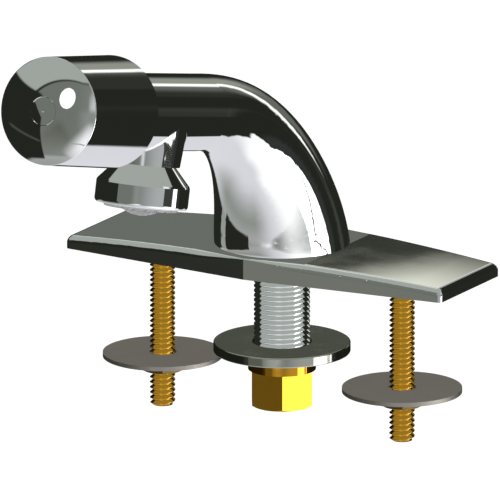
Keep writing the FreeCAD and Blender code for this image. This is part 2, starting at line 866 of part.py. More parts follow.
def cartridge_body():
    """The brass sleeve that holds the spring and the piston, with grooves for its three seals."""
    bore = "cartridge_bore / 2"
    outside = "cartridge_diameter / 2"
    flange = "cartridge_flange_diameter / 2"
    length = f"(barrel_length - {CARTRIDGE})"
    flange_start = f"{length} - cartridge_flange_length"
    groove_floor = "chamber_diameter / 2 - seal_section"
    half_groove = "seal_groove_width / 2"
    stem = "stem_rear_diameter / 2 + running_clearance"
    cartridge = turned(
        "cartridge_body",
        [
            (stem, "0"),
            (outside, "0"),
            (outside, flange_start),
            (flange, flange_start),
            (flange, length),
            (bore, length),
            (bore, "cartridge_rear_wall"),
            (stem, "cartridge_rear_wall"),
        ],
    )
    front_seal = f"{length} - front_seal_setback"
    for name, height in (("rear", "rear_seal_height"), ("front", front_seal)):
        low = f"{height} - {half_groove}"
        high = f"{height} + {half_groove}"
        outer = f"{outside} + 1"
        outline = [(groove_floor, low), (outer, low), (outer, high), (groove_floor, high)]
        turn(cartridge, f"{name}_seal_groove", outline, cut=True)
    stem_groove = f"{stem} + seal_section"
    low = f"rear_seal_height - {half_groove}"
    high = f"rear_seal_height + {half_groove}"
    outline = [("0", low), (stem_groove, low), (stem_groove, high), ("0", high)]
    turn(cartridge, "stem_seal_groove", outline, cut=True)
    on_barrel(cartridge, CARTRIDGE)


def seal_ring(label, inner, station):
    """A round seal around the barrel's axis, at its own station there."""
    seal = keep(doc.addObject("Part::Torus", label), label)
    section_radius = "(seal_section / 2 - seat_clearance)"
    bind(seal, Radius1=f"{inner} + seal_section / 2", Radius2=section_radius)
    on_barrel(seal, station)


def seals():
    groove_floor = "chamber_diameter / 2 - seal_section"
    rear = f"{CARTRIDGE} + rear_seal_height"
    stem = "stem_rear_diameter / 2 + running_clearance"
    seal_ring("cartridge_seal_rear", groove_floor, rear)
    seal_ring("cartridge_seal_front", groove_floor, "barrel_length - front_seal_setback")
    seal_ring("stem_seal", stem, rear)


def bonnet():
    """The nut on the barrel's front end, which holds the cartridge and guides the cap."""
    outside = "cap_bore / 2 - guide_clearance"
    bevelled = f"{outside} - bonnet_edge"
    barrel = "tube_diameter / 2 + thread_clearance"
    stem = "stem_front_diameter / 2 + running_clearance"
    length = "(bonnet_skirt + bonnet_front_wall)"
    outline = [
        (barrel, "0"),
        (bevelled, "0"),
        (outside, "bonnet_edge"),
        (outside, f"{length} - bonnet_edge"),
        (bevelled, length),
        (stem, length),
        (stem, "bonnet_skirt"),
        (barrel, "bonnet_skirt"),
    ]
    on_barrel(turned("bonnet", outline), "barrel_length - bonnet_skirt")


def stem():
    """The stem from the seat to the cap, with a shoulder that the piston sits against."""
    rear = "stem_rear_diameter / 2"
    front = "stem_front_diameter / 2"
    rear_bore = "seat_screw_diameter / 2 + thread_clearance"
    front_bore = "cap_screw_diameter / 2 + thread_clearance"
    shoulder = f"{PISTON} + piston_length - {STEM_START}"
    end = f"{CAP_INNER} - {STEM_START}"
    rear_depth = "seat_screw_depth + 1"
    front_floor = f"{end} - cap_screw_depth - 1"
    outline = [
        (rear_bore, "0"),
        (rear, "0"),
        (rear, shoulder),
        (front, shoulder),
        (front, end),
        (front_bore, end),
        (front_bore, front_floor),
        ("0", front_floor),
        ("0", rear_depth),
        (rear_bore, rear_depth),
    ]
    on_barrel(turned("stem", outline), STEM_START)


def stem_pieces():
    """The seat washer, the piston with its cup and follower, and the two screws."""
    washer_start = f"{STEM_START} - seat_washer_length"
    hole = "seat_screw_diameter + 2 * thread_clearance"
    washer = ring("seat_washer", "seat_washer_diameter", hole, "seat_washer_length")
    on_barrel(washer, washer_start)
    seat_screw = screw(
        "seat_screw",
        "seat_screw_diameter",
        "seat_screw_head_diameter",
        "seat_screw_head_length",
        "seat_washer_length + seat_screw_depth",
    )
    on_barrel(seat_screw, f"{washer_start} - seat_screw_head_length")

    grip = "cap_front_wall + cap_dome_height - plug_recess_depth"
    cap_screw = screw(
        "cap_screw",
        "cap_screw_diameter",
        "cap_screw_head_diameter",
        "cap_screw_head_length",
        f"{grip} + cap_screw_depth",
    )
    head = f"{CAP_INNER} + {grip} + cap_screw_head_length"
    on_barrel(cap_screw, head, turn="270 - barrel_tilt")

    bore = "stem_rear_diameter + 2 * thread_clearance"
    piston_size = "cartridge_bore - 2 * running_clearance"
    on_barrel(ring("piston", piston_size, bore, "piston_length"), PISTON)
    inside = f"({bore}) / 2"
    outside = f"({piston_size}) / 2"
    lip = "piston_cup_length / 2"
    outline = [
        (inside, "0"),
        (f"{outside} - {lip}", "0"),
        (outside, lip),
        (outside, "piston_cup_length"),
        (inside, "piston_cup_length"),
    ]
    on_barrel(turned("piston_cup", outline), f"{PISTON} - piston_cup_length")
    follower = ring("spring_follower", f"{piston_size} - 1", bore, "follower_length")
    on_barrel(follower, f"{PISTON} - piston_cup_length - follower_length")


def return_spring():
    """The spring between the cartridge's rear wall and the follower."""
    spring = new_body("return_spring")
    wire = sketch_in(spring, "spring_wire", "XZ_Plane")
    centre = FreeCAD.Vector(value("spring_diameter / 2"), value("spring_wire / 2"), 0)
    wire.addGeometry(Part.Circle(centre, FreeCAD.Vector(0, 0, 1), value("spring_wire / 2")))
    for kind, text, number in (
        ("DistanceX", "spring_diameter / 2", centre.x),
        ("DistanceY", "spring_wire / 2", centre.y),
    ):
        constraint = wire.addConstraint(Sketcher.Constraint(kind, -1, 1, 0, 3, number))
        wire.setExpression(f"Constraints[{constraint}]", bound(text))
    size = wire.addConstraint(Sketcher.Constraint("Diameter", 0, value("spring_wire")))
    wire.setExpression(f"Constraints[{size}]", bound("spring_wire"))
    coil = spring.newObject("PartDesign::AdditiveHelix", "spring_coil")
    coil.Profile = wire
    coil.ReferenceAxis = (wire, ["V_Axis"])
    coil.Mode = "pitch-height-angle"
    start = f"{CARTRIDGE} + cartridge_rear_wall"
    front = f"{PISTON} - piston_cup_length - follower_length"
    height = f"({front} - ({start}) - spring_wire)"
    bind(coil, Height=height, Pitch=f"{height} / spring_turns")
    on_barrel(spring, start)


def shank():
    """The threaded supply shank, with a recess for the inlet screen in its lower end."""
    outside = "shank_diameter / 2"
    length = "shank_top + shank_bottom"
    bevelled = f"{outside} - shank_chamfer"
    recess = "screen_diameter / 2 + running_clearance"
    outline = [
        (recess, "0"),
        (bevelled, "0"),
        (outside, "shank_chamfer"),
        (outside, f"{length} - shank_chamfer"),
        (bevelled, length),
        ("shank_bore / 2", length),
        ("shank_bore / 2", "screen_length"),
        (recess, "screen_length"),
    ]
    place(turned("shank", outline), z="-shank_bottom")
    rings = [("screen_hole_circle", "6")]
    screen = disc_screen("inlet_screen", "screen_diameter", "screen_length", rings)
    place(screen, z="-shank_bottom")


def shank_fixings():
    """The large washer, the coupling nut and the washer inside the nut."""
    washer = ring(
        "shank_washer", "shank_washer_diameter", "shank_washer_hole", "shank_washer_thickness"
    )
    edge = "shank_washer_diameter / 2"
    both = [(edge, "0"), (edge, "shank_washer_thickness")]
    round_rings(washer, washer.Tip, both, "shank_washer_round")
    place(washer, z="-shank_washer_top - shank_washer_thickness")

    nut = new_body("coupling_nut")
    hexagon(nut, "coupling_hex", "coupling_flats", "coupling_hex_length")
    collar = "coupling_collar_diameter / 2"
    top = "coupling_hex_length + coupling_collar_length"
    sides = [("0", "coupling_hex_length"), (collar, "coupling_hex_length")]
    turn(nut, "coupling_collar", [*sides, (collar, top), ("0", top)])
    inlet = "coupling_inlet_bore / 2"
    lead = f"{inlet} + coupling_inlet_lead"
    thread = "shank_diameter / 2 + thread_clearance"
    nut_top = "(shank_washer_top + shank_washer_thickness)"
    thread_start = f"{top} - (shank_bottom - {nut_top}) - inlet_washer_thickness"
    bores = [
        ("0", "-1"),
        (lead, "-1"),
        (lead, "0"),
        (inlet, "coupling_inlet_lead"),
        (inlet, "coupling_inlet_depth"),
        ("coupling_web_bore / 2", "coupling_inlet_depth"),
        ("coupling_web_bore / 2", thread_start),
        (thread, thread_start),
        (thread, f"{top} + 1"),
        ("0", f"{top} + 1"),
    ]
    turn(nut, "coupling_bores", bores, cut=True)
    chamfer_hexagon(nut, "coupling_chamfer", "coupling_flats")
    place(nut, z=f"-{nut_top} - ({top})")

    inner_washer = ring(
        "inlet_washer",
        "shank_diameter - 2 * running_clearance",
        "coupling_web_bore",
        "inlet_washer_thickness",
    )
    place(inner_washer, z="-shank_bottom - inlet_washer_thickness")


def stud_set(side, sign):
    """One stud, its washer and its jam nut, on one side of the shank."""
    at = f"{sign}stud_centres / 2"
    radius = "stud_diameter / 2"
    bevelled = f"{radius} - stud_chamfer"
    length = "stud_bottom + stud_socket_top"
    outline = [("0", "0"), (bevelled, "0"), (radius, "stud_chamfer"), (radius, length)]
    place(turned(f"stud_{side}", [*outline, ("0", length)]), x=at, z="-stud_bottom")

    washer = ring(
        f"stud_washer_{side}", "stud_washer_diameter", "stud_washer_hole", "stud_washer_thickness"
    )
    place(washer, x=at, z="-stud_washer_top - stud_washer_thickness")

    nut = new_body(f"stud_nut_{side}")
    hexagon(nut, f"stud_nut_{side}_hex", "stud_nut_flats", "stud_nut_height")
    bore = f"{radius} + thread_clearance"
    through = [("0", "-1"), (bore, "-1"), (bore, "stud_nut_height + 1")]
    turn(nut, f"stud_nut_{side}_bore", [*through, ("0", "stud_nut_height + 1")], cut=True)
    chamfer_hexagon(nut, f"stud_nut_{side}_chamfer", "stud_nut_flats")
    place(nut, x=at, z="-stud_washer_top - stud_washer_thickness - stud_nut_height")


def check():
    """Stop if an object failed or a piece isn't one sound solid."""
    failed = [item.Name for item in doc.Objects if {"Invalid", "Error"} & set(item.State)]
    if failed:
        raise RuntimeError(f"objects failed: {failed}")
    for piece in pieces:
        shape = piece.Shape
        if shape.isNull() or not shape.isValid() or len(shape.Solids) != 1:
            raise RuntimeError(f"{piece.Label} isn't one valid solid")


def write():
    """Write each piece to a file that has its name."""
    os.makedirs(PARTS_FOLDER, exist_ok=True)
    for piece in pieces:
        piece.Shape.exportStep(os.path.join(PARTS_FOLDER, f"{piece.Label}.step"))


deck_plate()
spout_body()
base_seal()
outlet_shell()
outlet_internals()
outlet_screen()
outlet_insert()
valve_seat()
cartridge_body()
seals()
bonnet()
push_cap()
stem()
stem_pieces()
return_spring()
shank()
shank_fixings()
stud_set("left", "-")
stud_set("right", "")
doc.recompute()
check()
write()
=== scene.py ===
import json
import math
from typing import NamedTuple

import bmesh
import bpy
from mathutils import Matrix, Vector


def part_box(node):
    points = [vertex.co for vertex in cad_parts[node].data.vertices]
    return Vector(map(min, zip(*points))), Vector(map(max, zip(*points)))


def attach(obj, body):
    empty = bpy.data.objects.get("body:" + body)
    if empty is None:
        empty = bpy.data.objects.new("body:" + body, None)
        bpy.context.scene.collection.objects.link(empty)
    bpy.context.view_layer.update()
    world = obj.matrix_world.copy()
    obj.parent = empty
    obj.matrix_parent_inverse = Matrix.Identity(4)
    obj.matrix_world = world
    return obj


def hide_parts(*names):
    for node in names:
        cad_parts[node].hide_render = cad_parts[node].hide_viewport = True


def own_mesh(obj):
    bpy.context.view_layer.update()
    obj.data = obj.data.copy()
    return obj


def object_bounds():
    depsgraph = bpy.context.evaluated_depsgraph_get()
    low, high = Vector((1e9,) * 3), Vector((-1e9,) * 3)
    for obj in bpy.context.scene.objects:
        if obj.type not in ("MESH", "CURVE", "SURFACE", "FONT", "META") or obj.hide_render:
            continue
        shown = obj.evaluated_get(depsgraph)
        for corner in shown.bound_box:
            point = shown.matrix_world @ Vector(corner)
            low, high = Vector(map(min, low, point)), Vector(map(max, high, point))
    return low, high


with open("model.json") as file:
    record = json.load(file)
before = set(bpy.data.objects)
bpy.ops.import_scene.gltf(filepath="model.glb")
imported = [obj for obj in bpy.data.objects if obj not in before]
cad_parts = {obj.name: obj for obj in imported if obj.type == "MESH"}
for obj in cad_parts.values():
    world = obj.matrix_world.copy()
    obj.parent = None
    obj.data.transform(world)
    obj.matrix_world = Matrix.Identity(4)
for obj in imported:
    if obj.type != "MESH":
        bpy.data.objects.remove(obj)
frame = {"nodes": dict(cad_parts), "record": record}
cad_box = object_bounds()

NODES = frame["nodes"]
BODY_OF = {node: body for body, nodes in frame["record"]["behaviour"]["bodies"].items() for node in nodes}
MM = 0.001

# The camera looks from the faucet's front right, a little from above, through a lens long enough to
# keep the plate's edges parallel.
VIEW_AZIMUTH = 29.44
VIEW_ELEVATION = 15.02
LENS_MM = 1700
SENSOR_MM = 36
PICTURE_PIXELS = 500
PIXELS_PER_METRE = 2720.2
ORIGIN_PIXEL = (282.17, 261.96)
# How far in front of the origin the picture's scale holds
SCALE_DEPTH = 0.040

# Threads of the studs and of the shank
STUD_PITCH = 1.954 * MM
STUD_THREAD_DEPTH = 1.15 * MM
STUD_CHAMFER = 0.9 * MM
SHANK_PITCH = 1.814 * MM
SHANK_THREAD_DEPTH = 1.0 * MM
SHANK_CHAMFER = 1.0 * MM
SHANK_BORE_RADIUS = 7.0 * MM
THREAD_STEPS = 72
# Where a thread's flanks start and end, as shares of one pitch, with how high each point stands
THREAD_PROFILE = ((0.0, 0.0), (0.08, 0.0), (0.42, 1.0), (0.50, 1.0))

CHROME_NODES = ("deck_plate", "spout_body", "push_cap", "cap_plug", "outlet_shell")

FLOOR_DROP = 0.07
FLOOR_HALF_WIDTH = 20
FLOOR_GREY = 0.25
FLOOR_GLOW = 0.84
PLAIN_LIGHT = 0.62

# Edges sharper than this stay sharp on the threads
SMOOTH_DEGREES = 25
# Points of an end face lie this close to its height
SAME_HEIGHT = 1e-6


def view_axes(azimuth, elevation):
    """The camera's backward, right and up directions."""
    a, e = math.radians(azimuth), math.radians(elevation)
    back = Vector((math.sin(a) * math.cos(e), -math.cos(a) * math.cos(e), math.sin(e)))
    right = Vector((math.cos(a), math.sin(a), 0))
    return back, right, back.cross(right)


def make_camera():
    """The camera, placed so that the faucet's origin falls on its point of the picture."""
    back, right, up = view_axes(VIEW_AZIMUTH, VIEW_ELEVATION)
    middle = PICTURE_PIXELS / 2
    across = (middle - ORIGIN_PIXEL[0]) / PIXELS_PER_METRE
    above = (ORIGIN_PIXEL[1] - middle) / PIXELS_PER_METRE
    width = PICTURE_PIXELS / PIXELS_PER_METRE
    distance = width * LENS_MM / SENSOR_MM + SCALE_DEPTH
    data = bpy.data.cameras.new("camera")
    data.lens = LENS_MM
    data.sensor_width = SENSOR_MM
    data.clip_start = 0.1
    data.clip_end = 60
    camera = bpy.data.objects.new("camera", data)
    bpy.context.scene.collection.objects.link(camera)
    camera.location = right * across + up * above + back * distance
    camera.rotation_mode = "QUATERNION"
    camera.rotation_quaternion = (-back).to_track_quat("-Z", "Y")
    bpy.context.scene.camera = camera


def math_node(tree, operation, *values):
    """A Math node whose inputs are numbers or other nodes' outputs; returns its output."""
    node = tree.nodes.new("ShaderNodeMath")
    node.operation = operation
    for socket, given in zip(node.inputs, values):
        if isinstance(given, (int, float)):
            socket.default_value = given
        else:
            tree.links.new(given, socket)
    return node.outputs["Value"]


def new_group(name, inputs, outputs):
    """A shader node group with named sockets, given as (name, kind, default)."""
    group = bpy.data.node_groups.new(name, "ShaderNodeTree")
    for label, kind, default in inputs:
        socket = group.interface.new_socket(name=label, in_out="INPUT", socket_type=kind)
        if default is not None:
            socket.default_value = default
    for label, kind in outputs:
        group.interface.new_socket(name=label, in_out="OUTPUT", socket_type=kind)
    return group, group.nodes.new("NodeGroupInput").outputs, group.nodes.new("NodeGroupOutput").inputs


def placed_group(tree, group, **values):
    """A group node in a material, with its inputs given as numbers or outputs."""
    node = tree.nodes.new("ShaderNodeGroup")
    node.node_tree = group
    for label, given in values.items():
        socket = node.inputs[label.replace("_", " ").title()]
        if isinstance(given, bpy.types.NodeSocket):
            tree.links.new(given, socket)
        else:
            socket.default_value = given
    return node


class Panel(NamedTuple):
    """A patch of the studio between two azimuths and two elevations, in degrees."""
    azimuth: tuple
    elevation: tuple
    colour: tuple
    blur: tuple = (2, 2)
    tilt: float = 0


class Disc(NamedTuple):
    """A round or narrower patch of the studio around an azimuth and an elevation, in degrees."""
    azimuth: float
    elevation: float
    radius: float
    colour: tuple
    blur: float = 2
    squeeze: float = 1


BLACK_CARD = (0.018, 0.020, 0.015)
DIM_GREY = (0.115, 0.125, 0.10)
GREY_WALL = (0.165, 0.18, 0.16)
PALE_WALL = (0.38, 0.41, 0.38)
WHITE_CARD = (1.15, 1.15, 1.15)
BRIGHT_CARD = (3.0, 3.0, 3.0)

# The studio that the chrome sees, as patches laid over each other
STUDIO_BASE = PALE_WALL
STUDIO = (
    # Round grey backdrop behind the camera, with a dark rim, and the wall to its right
    Disc(-3.5, -8.5, 48.2, BLACK_CARD),
    Disc(-2.5, -7.5, 46.0, GREY_WALL),
    Panel((14, 121), (-27, 39), GREY_WALL, blur=(8, 2)),
    Panel((35, 122), (-27, 39), (0.42, 0.44, 0.44), blur=(80, 2)),
    Panel((16, 28), (13, 34), (0.60, 0.62, 0.62), blur=(6, 8)),
    Panel((9, 23), (-3, 14), (0.26, 0.275, 0.265), blur=(12, 9)),
    Panel((-40, -2), (-24, -6), DIM_GREY, blur=(10, 10), tilt=35),
    Panel((3.4, 19.4), (-36.7, 1.3), (1.2, 1.2, 1.23), blur=(14, 8), tilt=-45),
    Panel((-2, 36), (-15.7, -14.8), (0.37, 0.38, 0.38), blur=(6, 0.3)),
    # Floor: white to the right, grey to the left
    Panel((-181, 181), (-91, -27), (0.735, 0.74, 0.78), blur=(1, 3)),
    Panel((-115, 8), (-58, -20), (0.27, 0.285, 0.26), blur=(50, 50)),
    Panel((44, 150), (-72, -20), WHITE_CARD, blur=(40, 20)),
    # Black cards at the left and at the back left
    Panel((-86, -30), (-29.5, 21), BLACK_CARD, blur=(1.5, 2)),
    Panel((-65, -31), (-12.8, -11.2), (0.07, 0.075, 0.06), blur=(6, 1.5), tilt=-12),
    Panel((-36.8, -18.8), (5, 23), GREY_WALL, blur=(1, 1), tilt=42),
    Panel((-164, -100), (-26, 36), BLACK_CARD),
    Panel((-101, -85), (-19, 36), BLACK_CARD),
    # Cards at the right: white, dark, bright with thin dark bars, and black with a white foot
    Panel((103, 117), (-10, 48), (0.9, 0.9, 0.9), blur=(3, 3)),
    Panel((84, 108.5), (-8.5, 16), (0.045, 0.05, 0.045), blur=(2, 1)),
    Panel((84.5, 124), (-41, -8.5), BRIGHT_CARD, blur=(2, 1.5)),
    Panel((83, 127), (-14.35, -13.3), (0.045, 0.048, 0.043), blur=(1, 0.3), tilt=-8.75),
    Panel((83, 90), (-11.7, -8), (0.045, 0.048, 0.043), blur=(1, 0.4)),
    Panel((121.5, 167), (-41, 38), BLACK_CARD),
    Panel((122.5, 132), (-30, -5), (0.032, 0.036, 0.034), blur=(6, 3)),
    Panel((121, 140), (-42, -32.5), WHITE_CARD, blur=(3, 2)),
    # Black surround behind the faucet, with a grey opening and a bright slanted edge
    Panel((150, 212), (-13, 19), BLACK_CARD),
    Panel((164, 200), (-28, -12.5), BLACK_CARD, blur=(3, 1)),
    Panel((165, 187), (18, 44), BLACK_CARD),
    Panel((151, 160), (-13, -3), (0.05, 0.053, 0.045), blur=(6, 6)),
    Panel((170, 198), (-1, 18), (0.135, 0.145, 0.13), blur=(8, 4), tilt=8),
    Panel((184, 197), (8, 20), (0.30, 0.31, 0.27), blur=(8, 8), tilt=20),
    Panel((160, 184), (15, 21), (0.03, 0.032, 0.026), blur=(3, 3), tilt=30),
    Panel((157, 189), (6.9, 10.1), (1.3, 1.3, 1.25), blur=(3, 2.4), tilt=36),
    # Low grey window, dark bar and pale window that the plate's top sees
    Panel((202, 222), (9.5, 16.2), (0.145, 0.16, 0.14), blur=(3, 1)),
    Panel((198, 226), (16.0, 19.4), (0.036, 0.04, 0.03), blur=(3, 1)),
    Panel((199, 211), (20, 40), (0.8, 0.82, 0.76), blur=(3, 1)),
    Panel((207.1, 210.7), (17.5, 21.5), (0.94, 0.95, 0.82), blur=(0.6, 0.32), tilt=-47.7),
    Panel((211, 226), (18.6, 38), (0.14, 0.155, 0.14), blur=(3, 4)),
    Panel((206, 240), (42, 62), (0.7, 0.72, 0.68), blur=(20, 12)),
    # Oval lamp
    Disc(-7.4, 23.3, 8.8, (1.5, 1.5, 1.5), blur=1, squeeze=1.22),
)


def direction(azimuth, elevation):
    """The unit vector towards a place in the studio."""
    a, e = math.radians(azimuth), math.radians(elevation)
    return (math.sin(a) * math.cos(e), -math.cos(a) * math.cos(e), math.sin(e))


def soft_edge(tree, inside, blur):
    """A mask that rises smoothly over a blur, from how far inside an edge a direction lies."""
    ramp = tree.nodes.new("ShaderNodeMapRange")
    ramp.interpolation_type = "SMOOTHSTEP"
    tree.links.new(inside, ramp.inputs["Value"])
    half = math_node(tree, "MULTIPLY", blur, 0.5)
    tree.links.new(half, ramp.inputs["From Max"])
    tree.links.new(math_node(tree, "MULTIPLY", half, -1.0), ramp.inputs["From Min"])
    return ramp.outputs["Result"]


def panel_group():
    """A soft-edged patch of the studio, by its directions in degrees, turned about its middle."""
    labels = (
        "Azimuth", "Elevation", "Centre", "Level", "Half Width", "Half Height",
        "Tilt", "Blur Across", "Blur Up",
    )
    group, given, out = new_group(
        "studio_panel", [(label, "NodeSocketFloat", None) for label in labels], [("Mask", "NodeSocketFloat")]
    )
    sideways = math_node(group, "SUBTRACT", given["Azimuth"], given["Centre"])
    across = math_node(group, "WRAP", sideways, 180.0, -180.0)
    up = math_node(group, "SUBTRACT", given["Elevation"], given["Level"])
    turn = math_node(group, "RADIANS", given["Tilt"])
    cosine, sine = math_node(group, "COSINE", turn), math_node(group, "SINE", turn)
    along = math_node(group, "MULTIPLY_ADD", up, sine, math_node(group, "MULTIPLY", across, cosine))
    risen = math_node(group, "MULTIPLY", up, cosine)
    beside = math_node(group, "SUBTRACT", risen, math_node(group, "MULTIPLY", across, sine))
    masks = [
        soft_edge(group, math_node(group, "SUBTRACT", half, math_node(group, "ABSOLUTE", away)), blur)
        for half, away, blur in (
            (given["Half Width"], along, given["Blur Across"]),
            (given["Half Height"], beside, given["Blur Up"]),
        )
    ]
    group.links.new(math_node(group, "MULTIPLY", *masks), out["Mask"])
    return group


def disc_group():
    """A round patch of the studio around a direction, squeezed sideways into an oval."""
    group, given, out = new_group(
        "studio_disc",
        [(label, "NodeSocketVector", None) for label in ("Heading", "Centre", "Side")]
        + [(label, "NodeSocketFloat", None) for label in ("Radius", "Blur", "Squeeze")],
        [("Mask", "NodeSocketFloat")],
    )
    shares = []
    for label in ("Centre", "Side"):
        product = group.nodes.new("ShaderNodeVectorMath")
        product.operation = "DOT_PRODUCT"
        group.links.new(given["Heading"], product.inputs[0])
        group.links.new(given[label], product.inputs[1])
        shares.append(product.outputs["Value"])
    round_way = math_node(group, "DEGREES", math_node(group, "ARCCOSINE", shares[0]))
    side_way = math_node(group, "DEGREES", math_node(group, "ARCSINE", shares[1]))
    squeeze_square = math_node(group, "MULTIPLY", given["Squeeze"], given["Squeeze"])
    extra = math_node(group, "SUBTRACT", squeeze_square, 1.0)
    side_part = math_node(group, "MULTIPLY", math_node(group, "MULTIPLY", side_way, side_way), extra)
    away = math_node(group, "SQRT", math_node(group, "MULTIPLY_ADD", round_way, round_way, side_part))
    inside = math_node(group, "SUBTRACT", given["Radius"], away)
    group.links.new(soft_edge(group, inside, given["Blur"]), out["Mask"])
    return group


def laid_over(tree, below, mask, tint):
    """The colour below with a tinted patch over it."""
    mix = tree.nodes.new("ShaderNodeMix")
    mix.data_type = "RGBA"
    tree.links.new(mask, mix.inputs["Factor"])
    if below is None:
        mix.inputs["A"].default_value = (*STUDIO_BASE, 1)
    else:
        tree.links.new(below, mix.inputs["A"])
    mix.inputs["B"].default_value = (*tint, 1)
    return mix.outputs["Result"]


def studio_colour(tree):
    """The studio's colour in each direction, from its patches."""
    heading = tree.nodes.new("ShaderNodeTexCoord").outputs["Generated"]
    parts = tree.nodes.new("ShaderNodeSeparateXYZ")
    tree.links.new(heading, parts.inputs[0])
    forward = math_node(tree, "MULTIPLY", parts.outputs["Y"], -1.0)
    azimuth = math_node(tree, "DEGREES", math_node(tree, "ARCTAN2", parts.outputs["X"], forward))
    elevation = math_node(tree, "DEGREES", math_node(tree, "ARCSINE", parts.outputs["Z"]))
    panel, disc = panel_group(), disc_group()
    colour = None
    for patch in STUDIO:
        if isinstance(patch, Panel):
            (start, stop), (low, high) = patch.azimuth, patch.elevation
            node = placed_group(
                tree, panel, azimuth=azimuth, elevation=elevation,
                centre=(start + stop) / 2, level=(low + high) / 2,
                half_width=(stop - start) / 2, half_height=(high - low) / 2, tilt=patch.tilt,
                blur_across=patch.blur[0], blur_up=patch.blur[1],
            )
        else:
            node = placed_group(
                tree, disc, heading=heading, centre=direction(patch.azimuth, patch.elevation),
                side=direction(patch.azimuth + 90, 0), radius=patch.radius, blur=patch.blur,
                squeeze=patch.squeeze,
            )
        colour = laid_over(tree, colour, node.outputs["Mask"], patch.colour)
    return colour


def make_studio():
    """World light: plain for surfaces, white behind the faucet, and the studio's patches in its gloss."""
    world = bpy.data.worlds.new("studio")
    bpy.context.scene.world = world
    world.use_nodes = True
    tree = world.node_tree
    tree.nodes.clear()
    studio = tree.nodes.new("ShaderNodeBackground")
    tree.links.new(studio_colour(tree), studio.inputs["Color"])
    plain = tree.nodes.new("ShaderNodeBackground")
    plain.inputs["Color"].default_value = (1, 1, 1, 1)
    plain.inputs["Strength"].default_value = PLAIN_LIGHT
    white = tree.nodes.new("ShaderNodeBackground")
    white.inputs["Color"].default_value = (1, 1, 1, 1)
    rays = tree.nodes.new("ShaderNodeLightPath")
    glossy = tree.nodes.new("ShaderNodeMixShader")
    tree.links.new(rays.outputs["Is Glossy Ray"], glossy.inputs[0])
    tree.links.new(plain.outputs[0], glossy.inputs[1])
    tree.links.new(studio.outputs[0], glossy.inputs[2])
    seen = tree.nodes.new("ShaderNodeMixShader")
    direct = math_node(tree, "MAXIMUM", rays.outputs["Is Camera Ray"], rays.outputs["Is Transmission Ray"])
    tree.links.new(direct, seen.inputs[0])
    tree.links.new(glossy.outputs[0], seen.inputs[1])
    tree.links.new(white.outputs[0], seen.inputs[2])
    output = tree.nodes.new("ShaderNodeOutputWorld")
    tree.links.new(seen.outputs[0], output.inputs["Surface"])


def make_lamps():
    """Two soft lamps that shade the plain surfaces and stay out of the reflections."""
    for name, azimuth, elevation, distance, size, watts in (
        ("key_lamp", 75, 50, 1.2, 0.8, 9.0),
        ("fill_lamp", -20, 35, 1.5, 1.2, 5.0),
    ):
        data = bpy.data.lights.new(name, "AREA")
        data.shape = "DISK"
        data.size = size
        data.energy = watts
        lamp = bpy.data.objects.new(name, data)
        bpy.context.scene.collection.objects.link(lamp)
        towards = Vector(direction(azimuth, elevation))
        lamp.location = towards * distance
        lamp.rotation_mode = "QUATERNION"
        lamp.rotation_quaternion = towards.to_track_quat("Z", "Y")
        lamp.visible_glossy = False


def make_floor():
    """A pale plain floor under the hanging studs: white with the shadow from above, clear from below."""
    depth = cad_box[0].z - FLOOR_DROP
    mesh = bpy.data.meshes.new("floor")
    form = bmesh.new()
    bmesh.ops.create_grid(form, x_segments=8, y_segments=8, size=FLOOR_HALF_WIDTH)
    form.to_mesh(mesh)
    form.free()
    floor = bpy.data.objects.new("floor", mesh)
    bpy.context.scene.collection.objects.link(floor)
    floor.location.z = depth
    material = bpy.data.materials.new("pale_floor")
    material.use_nodes = True
    tree = material.node_tree
    tree.nodes.clear()
    shade = tree.nodes.new("ShaderNodeBsdfDiffuse")
    shade.inputs["Color"].default_value = (FLOOR_GREY, FLOOR_GREY, FLOOR_GREY, 1)
    glow = tree.nodes.new("ShaderNodeEmission")
    glow.inputs["Color"].default_value = (1, 1, 1, 1)
    rays = tree.nodes.new("ShaderNodeLightPath")
    seen = math_node(tree, "MAXIMUM", rays.outputs["Is Camera Ray"], rays.outputs["Is Transmission Ray"])
    seen = math_node(tree, "MAXIMUM", seen, rays.outputs["Is Glossy Ray"])
    tree.links.new(math_node(tree, "MULTIPLY", seen, FLOOR_GLOW), glow.inputs["Strength"])
    both = tree.nodes.new("ShaderNodeAddShader")
    tree.links.new(shade.outputs[0], both.inputs[0])
    tree.links.new(glow.outputs[0], both.inputs[1])
    clear = tree.nodes.new("ShaderNodeBsdfTransparent")
    side = tree.nodes.new("ShaderNodeMixShader")
    tree.links.new(tree.nodes.new("ShaderNodeNewGeometry").outputs["Backfacing"], side.inputs[0])
    tree.links.new(both.outputs[0], side.inputs[1])
    tree.links.new(clear.outputs[0], side.inputs[2])
    output = tree.nodes.new("ShaderNodeOutputMaterial")
    tree.links.new(side.outputs[0], output.inputs["Surface"])
    mesh.materials.append(material)
    floor.visible_glossy = False


